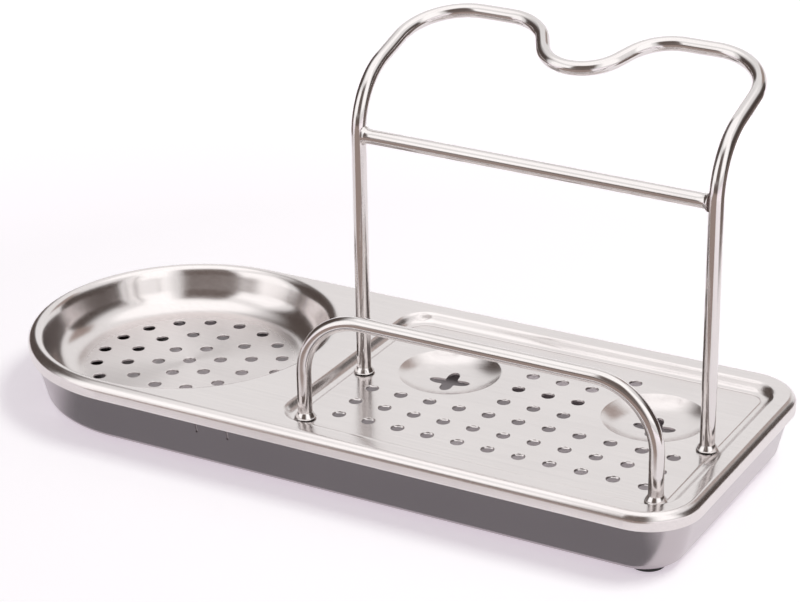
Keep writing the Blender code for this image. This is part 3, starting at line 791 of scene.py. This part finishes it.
# its steel is brushed along its length and spun in the dish, whose floor is the dullest
spun_reach = dish_radius + 0.001
dull_start = 0.041
dull_end = 0.036
dull_gain = 0.13
streak_share = 0.6
tray_steel, nodes, links = steel("brushed_tray_steel")
shader = nodes["Principled BSDF"]
shader.inputs["Anisotropic"].default_value = 0.8
place = nodes.new("ShaderNodeTexCoord").outputs["Object"]
from_dish = vector_math(nodes, links, "SUBTRACT", place, (dish_x, 0, 0))["Vector"]
level_only = vector_math(nodes, links, "MULTIPLY", from_dish, (1, 1, 0))["Vector"]
reach = vector_math(nodes, links, "LENGTH", level_only)["Value"]
brushing = nodes.new("ShaderNodeMix")
brushing.data_type = "VECTOR"
brushing.inputs["A"].default_value = (0, 1, 0)
links.new(arithmetic(nodes, links, "LESS_THAN", reach, spun_reach), brushing.inputs["Factor"])
links.new(level_only, brushing.inputs["B"])
links.new(brushing.outputs["Result"], shader.inputs["Tangent"])
cloud = noise(nodes, links, (30, 30, 30))
grain = noise(nodes, links, (25, 1600, 1600))
streaks = nodes.new("ShaderNodeMix")
streaks.inputs["Factor"].default_value = streak_share
links.new(cloud, streaks.inputs["A"])
links.new(grain, streaks.inputs["B"])
add_colour(nodes, links, streaks.outputs["Result"], (0.64, 0.6, 0.595), (0.82, 0.775, 0.765))
tone = ranged(nodes, links, grain, 0, 1, 0.15, 0.23)
dull = ranged(nodes, links, reach, dull_start, dull_end, 0, dull_gain)
links.new(arithmetic(nodes, links, "ADD", tone, dull), shader.inputs["Roughness"])
add_grain(nodes, links, grain, 0.03)
pressed_tray = piece_of("pressed_tray", bm, tray_steel)
thicken(pressed_tray)
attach(pressed_tray, "tray")
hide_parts("drain_tray")

# The tall rack is bent from one round, bright drawn steel wire: it leans back above
# two legs, and its crest dips in the middle. Each leg stands on the floor of the well
# and is held there by a screw from below.

wire_radius = 0.0025
wire_sides = 32
collar_height = 0.002
collar_z = well_z + seat_gap
wire_end = collar_z + collar_height
rack_tilt = 0.0131
rack_leg = 0.0871
rack_reach = 0.0347
rack_rise = math.radians(16.9)
leg_straight = 0.004
bend_step = math.radians(3)
back_bend = 0.0231
corner_bend = 0.0215
shoulder_bend = 0.0179
dip_bend = 0.0153
dip_side = 0.0054
dip_angle = math.radians(62.5)


def bend(centre, start, turn, radius, angle):
    """Points on an arc about centre, from the direction start towards the direction turn."""
    steps = math.ceil(angle / bend_step)
    turns = [angle * i / steps for i in range(steps + 1)]
    return [centre + radius * (math.cos(a) * start + math.sin(a) * turn) for a in turns]


def wire(name, path, radii=None):
    """A round wire along the path, with a layer that runs round it and along it."""
    bm = bmesh.new()
    ahead = [(after - before).normalized() for before, after in zip(path, path[1:])]
    tangents = [ahead[0]] + [(a + b).normalized() for a, b in zip(ahead, ahead[1:])] + [ahead[-1]]
    side = Vector((0, 1, 0))
    turns = [2 * math.pi * k / wire_sides for k in range(wire_sides)]
    loops = []
    for i, (point, tangent) in enumerate(zip(path, tangents)):
        side = (side - side.dot(tangent) * tangent).normalized()
        across = tangent.cross(side)
        radius = radii[i] if radii else wire_radius
        ring = [point + radius * (math.cos(a) * side + math.sin(a) * across) for a in turns]
        loops.append([bm.verts.new(place) for place in ring])
    skin(bm, loops)
    bm.faces.new(reversed(loops[0]))
    bm.faces.new(loops[-1])
    lengths = [0]
    for before, after in zip(path, path[1:]):
        lengths.append(lengths[-1] + (after - before).length)
    layer = bm.loops.layers.uv.new("along_the_wire")
    bm.verts.index_update()
    for face in bm.faces:
        for corner in face.loops:
            at, k = divmod(corner.vert.index, wire_sides)
            if k == 0 and max(c.vert.index % wire_sides for c in face.loops) > wire_sides / 2:
                k = wire_sides
            corner[layer].uv = (k / wire_sides, lengths[at])
    return piece_of(name, bm, wire_steel)


def mirrored(path, middle):
    """The other half of a wire, back from the end of the path."""
    return [Vector((2 * middle - p.x, p.y, p.z)) for p in reversed(path)]


wire_steel, nodes, links = steel("drawn_wire_steel")
layer = nodes.new("ShaderNodeUVMap")
layer.uv_map = "along_the_wire"
cloud = noise(nodes, links, (60, 60, 60))
grain = noise(nodes, links, (60, 40, 1), place=layer.outputs["UV"])
add_colour(nodes, links, cloud, (0.66, 0.62, 0.61), (0.72, 0.69, 0.68))
add_roughness(nodes, links, grain, 0.09, 0.17)
add_grain(nodes, links, grain, 0.04)

left, rack_y = leg_places["rack_left"]
right = leg_places["rack_right"][0]
middle = (left + right) / 2
leg_top = well_z + rack_leg
x_way = Vector((1, 0, 0))
z_way = Vector((0, 0, 1))
back_way = Vector((0, math.cos(rack_rise), math.sin(rack_rise)))
path = [Vector((left, rack_y, wire_end)), Vector((left, rack_y, leg_top - leg_straight))]
bend_centre = Vector((left, rack_y + back_bend, leg_top))
path += bend(bend_centre, Vector((0, -1, 0)), z_way, back_bend, math.pi / 2 - rack_rise)
crest = path[-1] + rack_reach * back_way
path += bend(crest + corner_bend * (x_way - back_way), -x_way, back_way, corner_bend, math.pi / 2)
flat = (shoulder_bend + dip_bend) * math.sin(dip_angle) + dip_side * math.cos(dip_angle)
shoulder_centre = Vector((middle - flat, crest.y, crest.z)) - shoulder_bend * back_way
path += bend(shoulder_centre, back_way, x_way, shoulder_bend, dip_angle)
slope = math.sin(dip_angle) * back_way - math.cos(dip_angle) * x_way
dip_start = path[-1] - dip_side * slope
outward = -math.sin(dip_angle) * x_way - math.cos(dip_angle) * back_way
inward = math.cos(dip_angle) * x_way - math.sin(dip_angle) * back_way
path += bend(dip_start - dip_bend * outward, outward, inward, dip_bend, dip_angle)
path += mirrored(path[:-1], middle)
for point in path[1:-1]:
    point.z += rack_tilt * (middle - point.x)
tall_rack = wire("tall_rack_wire", path)
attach(tall_rack, "tray")
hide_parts("rack_hoop")

# A straight wire ties the tall rack's legs together. It is cut to fit between them
# and welded, which leaves a small bright swelling at each end.

weld_sink = 0.0006
tie_clear = 0.006
weld = ((0.0003, 0.0033), (0.0007, 0.0032), (0.0011, 0.0028), (0.0017, 0.00256))
near = [(left + wire_radius - weld_sink + step, radius) for step, radius in weld]
far = [(right - wire_radius + weld_sink - step, radius) for step, radius in reversed(weld)]
stations = near + [(left + tie_clear, wire_radius), (right - tie_clear, wire_radius)] + far
path = [Vector((x, rack_y, leg_top + rack_tilt * (middle - x))) for x, _ in stations]
tie = wire("tie_wire", path, [radius for _, radius in stations])
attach(tie, "tray")
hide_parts("rack_crossbar")

# The low rack in front is one length of the same wire with two bends, and it stands
# on the well's floor in the same way. It keeps things from sliding off the front.

low_bend = 0.0223
low_height = 0.0387
low_left, low_y = leg_places["guard_left"]
low_right = leg_places["guard_right"][0]
low_centre = Vector((low_left + low_bend, low_y, well_z + low_height - low_bend))
path = [Vector((low_left, low_y, wire_end))] + bend(low_centre, -x_way, z_way, low_bend, math.pi / 2)
path += mirrored(path, (low_left + low_right) / 2)
low_rack = wire("low_rack_wire", path)
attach(low_rack, "tray")
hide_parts("guard_wire")

# A small coned collar of the same bright steel sits under each leg. It is turned,
# with a step above its foot, and hides the hole and the wire's end.

collar_profile = [(screw_hole, 0), (0.0036, 0), (0.0037, 0.0001), (0.0037, 0.0003), (0.0036, 0.0004)]
collar_profile += [(0.0034, 0.00045), (0.0033, 0.0007), (0.0029, 0.0014), (0.00265, 0.0019)]
collar_profile += [(0.00255, collar_height), (screw_hole, collar_height)]
for leg, (x, y) in leg_places.items():
    collar = turned(leg + "_cone", collar_profile, (x, y, collar_z), wire_steel)
    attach(collar, "tray")
    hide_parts(leg + "_collar")

# Under the tray each leg is held by a plated steel screw with a cross recess, and
# a plain washer. The CAD solids serve as they are, with a plated look.

plated, nodes, links = steel("plated_steel")
cloud = noise(nodes, links, (400, 400, 400))
add_colour(nodes, links, cloud, (0.5, 0.5, 0.51), (0.62, 0.62, 0.62))
add_roughness(nodes, links, cloud, 0.22, 0.4)
for leg in leg_places:
    for part in ("_washer", "_screw"):
        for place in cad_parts[leg + part].material_slots:
            place.material = plated
